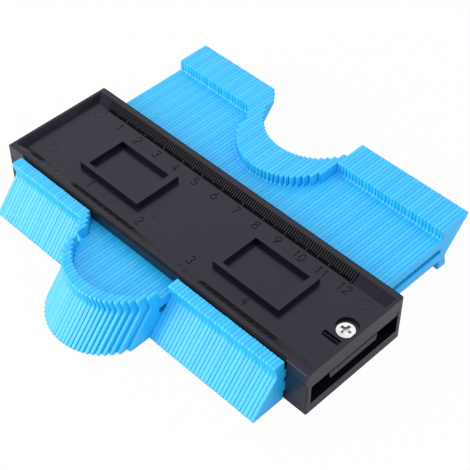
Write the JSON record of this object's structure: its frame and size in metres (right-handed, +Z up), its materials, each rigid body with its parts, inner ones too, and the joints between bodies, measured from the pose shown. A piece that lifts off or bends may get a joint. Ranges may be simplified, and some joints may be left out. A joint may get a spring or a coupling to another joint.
{
  "type": "contour gauge",
  "caption": "Profile copying gauge: a row of thin slotted slats slides between two shells with a ruled tray and keeps the outline it is pressed against.",
  "frame": {"origin": "middle of the rim under the base, on the face that the gauge rests on", "axes": "+X along the row of slats, +Y along the slats to the side with the centimetre scale, +Z up"},
  "size_m": [0.1464, 0.1264, 0.0198],
  "materials": {
    "shell_plastic": "satin charcoal moulded plastic",
    "slat_plastic": "semi-gloss light blue moulded plastic",
    "guide_plastic": "plain black plastic",
    "screw_steel": "bright plated steel"
  },
  "bodies": {
    "shells": {"base_shell": "shell_plastic", "top_cover": "shell_plastic", "guide_plate": "guide_plastic"},
    "tension_screw": {"tension_screw": "screw_steel"},
    "slat_pair_01": {"slat_pair_01": "slat_plastic"},
    "slat_pair_02": {"slat_pair_02": "slat_plastic"},
    "slat_pair_03": {"slat_pair_03": "slat_plastic"},
    "slat_pair_04": {"slat_pair_04": "slat_plastic"},
    "slat_pair_05": {"slat_pair_05": "slat_plastic"},
    "slat_pair_06": {"slat_pair_06": "slat_plastic"},
    "slat_pair_07": {"slat_pair_07": "slat_plastic"},
    "slat_pair_08": {"slat_pair_08": "slat_plastic"},
    "slat_pair_09": {"slat_pair_09": "slat_plastic"},
    "slat_pair_10": {"slat_pair_10": "slat_plastic"},
    "slat_pair_11": {"slat_pair_11": "slat_plastic"},
    "slat_pair_12": {"slat_pair_12": "slat_plastic"},
    "slat_pair_13": {"slat_pair_13": "slat_plastic"},
    "slat_pair_14": {"slat_pair_14": "slat_plastic"},
    "slat_pair_15": {"slat_pair_15": "slat_plastic"},
    "slat_pair_16": {"slat_pair_16": "slat_plastic"},
    "slat_pair_17": {"slat_pair_17": "slat_plastic"},
    "slat_pair_18": {"slat_pair_18": "slat_plastic"},
    "slat_pair_19": {"slat_pair_19": "slat_plastic"},
    "slat_pair_20": {"slat_pair_20": "slat_plastic"},
    "slat_pair_21": {"slat_pair_21": "slat_plastic"},
    "slat_pair_22": {"slat_pair_22": "slat_plastic"},
    "slat_pair_23": {"slat_pair_23": "slat_plastic"},
    "slat_pair_24": {"slat_pair_24": "slat_plastic"},
    "slat_pair_25": {"slat_pair_25": "slat_plastic"},
    "slat_pair_26": {"slat_pair_26": "slat_plastic"},
    "slat_pair_27": {"slat_pair_27": "slat_plastic"},
    "slat_pair_28": {"slat_pair_28": "slat_plastic"},
    "slat_pair_29": {"slat_pair_29": "slat_plastic"},
    "slat_pair_30": {"slat_pair_30": "slat_plastic"},
    "slat_pair_31": {"slat_pair_31": "slat_plastic"},
    "slat_pair_32": {"slat_pair_32": "slat_plastic"},
    "slat_pair_33": {"slat_pair_33": "slat_plastic"},
    "slat_pair_34": {"slat_pair_34": "slat_plastic"},
    "slat_pair_35": {"slat_pair_35": "slat_plastic"},
    "slat_pair_36": {"slat_pair_36": "slat_plastic"},
    "slat_pair_37": {"slat_pair_37": "slat_plastic"},
    "slat_pair_38": {"slat_pair_38": "slat_plastic"},
    "slat_pair_39": {"slat_pair_39": "slat_plastic"},
    "slat_pair_40": {"slat_pair_40": "slat_plastic"},
    "slat_pair_41": {"slat_pair_41": "slat_plastic"},
    "slat_pair_42": {"slat_pair_42": "slat_plastic"},
    "slat_pair_43": {"slat_pair_43": "slat_plastic"}
  },
  "joints": [
    {"name": "screw_turn", "type": "hinge", "parent": "shells", "child": "tension_screw", "pos_m": [0.0679, 0.0007, 0.0162], "axis": [0, 0, 1], "range_deg": [0, 180]},
    {"name": "slide_01", "type": "slide", "parent": "shells", "child": "slat_pair_01", "axis": [0, 1, 0], "range_m": [-0.03141, 0.00002]},
    {"name": "slide_02", "type": "slide", "parent": "shells", "child": "slat_pair_02", "axis": [0, 1, 0], "range_m": [-0.03139, 0.00007]},
    {"name": "slide_03", "type": "slide", "parent": "shells", "child": "slat_pair_03", "axis": [0, 1, 0], "range_m": [-0.03138, 0.00012]},
    {"name": "slide_04", "type": "slide", "parent": "shells", "child": "slat_pair_04", "axis": [0, 1, 0], "range_m": [-0.03142, 0.00006]},
    {"name": "slide_05", "type": "slide", "parent": "shells", "child": "slat_pair_05", "axis": [0, 1, 0], "range_m": [-0.03143, 0.00006]},
    {"name": "slide_06", "type": "slide", "parent": "shells", "child": "slat_pair_06", "axis": [0, 1, 0], "range_m": [-0.0314, 0.0001]},
    {"name": "slide_07", "type": "slide", "parent": "shells", "child": "slat_pair_07", "axis": [0, 1, 0], "range_m": [-0.0314, 0.00008]},
    {"name": "slide_08", "type": "slide", "parent": "shells", "child": "slat_pair_08", "axis": [0, 1, 0], "range_m": [-0.03147, 0.00001]},
    {"name": "slide_09", "type": "slide", "parent": "shells", "child": "slat_pair_09", "axis": [0, 1, 0], "range_m": [-0.0314, 0.00006]},
    {"name": "slide_10", "type": "slide", "parent": "shells", "child": "slat_pair_10", "axis": [0, 1, 0], "range_m": [-0.03138, 0.00009]},
    {"name": "slide_11", "type": "slide", "parent": "shells", "child": "slat_pair_11", "axis": [0, 1, 0], "range_m": [-0.03138, 0.00009]},
    {"name": "slide_12", "type": "slide", "parent": "shells", "child": "slat_pair_12", "axis": [0, 1, 0], "range_m": [-0.03138, 0.00006]},
    {"name": "slide_13", "type": "slide", "parent": "shells", "child": "slat_pair_13", "axis": [0, 1, 0], "range_m": [-0.02996, 0.00011]},
    {"name": "slide_14", "type": "slide", "parent": "shells", "child": "slat_pair_14", "axis": [0, 1, 0], "range_m": [-0.02646, 0.00328]},
    {"name": "slide_15", "type": "slide", "parent": "shells", "child": "slat_pair_15", "axis": [0, 1, 0], "range_m": [-0.01827, 0.01071]},
    {"name": "slide_16", "type": "slide", "parent": "shells", "child": "slat_pair_16", "axis": [0, 1, 0], "range_m": [-0.01495, 0.01511]},
    {"name": "slide_17", "type": "slide", "parent": "shells", "child": "slat_pair_17", "axis": [0, 1, 0], "range_m": [-0.01264, 0.01779]},
    {"name": "slide_18", "type": "slide", "parent": "shells", "child": "slat_pair_18", "axis": [0, 1, 0], "range_m": [-0.01112, 0.01968]},
    {"name": "slide_19", "type": "slide", "parent": "shells", "child": "slat_pair_19", "axis": [0, 1, 0], "range_m": [-0.01022, 0.02094]},
    {"name": "slide_20", "type": "slide", "parent": "shells", "child": "slat_pair_20", "axis": [0, 1, 0], "range_m": [-0.00975, 0.02162]},
    {"name": "slide_21", "type": "slide", "parent": "shells", "child": "slat_pair_21", "axis": [0, 1, 0], "range_m": [-0.00965, 0.02181]},
    {"name": "slide_22", "type": "slide", "parent": "shells", "child": "slat_pair_22", "axis": [0, 1, 0], "range_m": [-0.00984, 0.02139]},
    {"name": "slide_23", "type": "slide", "parent": "shells", "child": "slat_pair_23", "axis": [0, 1, 0], "range_m": [-0.01045, 0.02049]},
    {"name": "slide_24", "type": "slide", "parent": "shells", "child": "slat_pair_24", "axis": [0, 1, 0], "range_m": [-0.01155, 0.01914]},
    {"name": "slide_25", "type": "slide", "parent": "shells", "child": "slat_pair_25", "axis": [0, 1, 0], "range_m": [-0.0133, 0.01706]},
    {"name": "slide_26", "type": "slide", "parent": "shells", "child": "slat_pair_26", "axis": [0, 1, 0], "range_m": [-0.01595, 0.0138]},
    {"name": "slide_27", "type": "slide", "parent": "shells", "child": "slat_pair_27", "axis": [0, 1, 0], "range_m": [-0.01982, 0.00847]},
    {"name": "slide_28", "type": "slide", "parent": "shells", "child": "slat_pair_28", "axis": [0, 1, 0], "range_m": [-0.03146, 0.00002]},
    {"name": "slide_29", "type": "slide", "parent": "shells", "child": "slat_pair_29", "axis": [0, 1, 0], "range_m": [-0.0314, 0.00007]},
    {"name": "slide_30", "type": "slide", "parent": "shells", "child": "slat_pair_30", "axis": [0, 1, 0], "range_m": [-0.03138, 0.00011]},
    {"name": "slide_31", "type": "slide", "parent": "shells", "child": "slat_pair_31", "axis": [0, 1, 0], "range_m": [-0.03138, 0.00009]},
    {"name": "slide_32", "type": "slide", "parent": "shells", "child": "slat_pair_32", "axis": [0, 1, 0], "range_m": [-0.03138, 0.00007]},
    {"name": "slide_33", "type": "slide", "parent": "shells", "child": "slat_pair_33", "axis": [0, 1, 0], "range_m": [-0.03138, 0.00008]},
    {"name": "slide_34", "type": "slide", "parent": "shells", "child": "slat_pair_34", "axis": [0, 1, 0], "range_m": [-0.03139, 0.00009]},
    {"name": "slide_35", "type": "slide", "parent": "shells", "child": "slat_pair_35", "axis": [0, 1, 0], "range_m": [-0.03138, 0.00001]},
    {"name": "slide_36", "type": "slide", "parent": "shells", "child": "slat_pair_36", "axis": [0, 1, 0], "range_m": [-0.03139, 0.00004]},
    {"name": "slide_37", "type": "slide", "parent": "shells", "child": "slat_pair_37", "axis": [0, 1, 0], "range_m": [-0.0314, 0.00007]},
    {"name": "slide_38", "type": "slide", "parent": "shells", "child": "slat_pair_38", "axis": [0, 1, 0], "range_m": [-0.03139, 0.00007]},
    {"name": "slide_39", "type": "slide", "parent": "shells", "child": "slat_pair_39", "axis": [0, 1, 0], "range_m": [-0.03138, 0]},
    {"name": "slide_40", "type": "slide", "parent": "shells", "child": "slat_pair_40", "axis": [0, 1, 0], "range_m": [-0.03141, 0.00004]},
    {"name": "slide_41", "type": "slide", "parent": "shells", "child": "slat_pair_41", "axis": [0, 1, 0], "range_m": [-0.03138, 0.00004]},
    {"name": "slide_42", "type": "slide", "parent": "shells", "child": "slat_pair_42", "axis": [0, 1, 0], "range_m": [-0.03138, 0.00008]},
    {"name": "slide_43", "type": "slide", "parent": "shells", "child": "slat_pair_43", "axis": [0, 1, 0], "range_m": [-0.03138, 0.00009]}
  ]
}
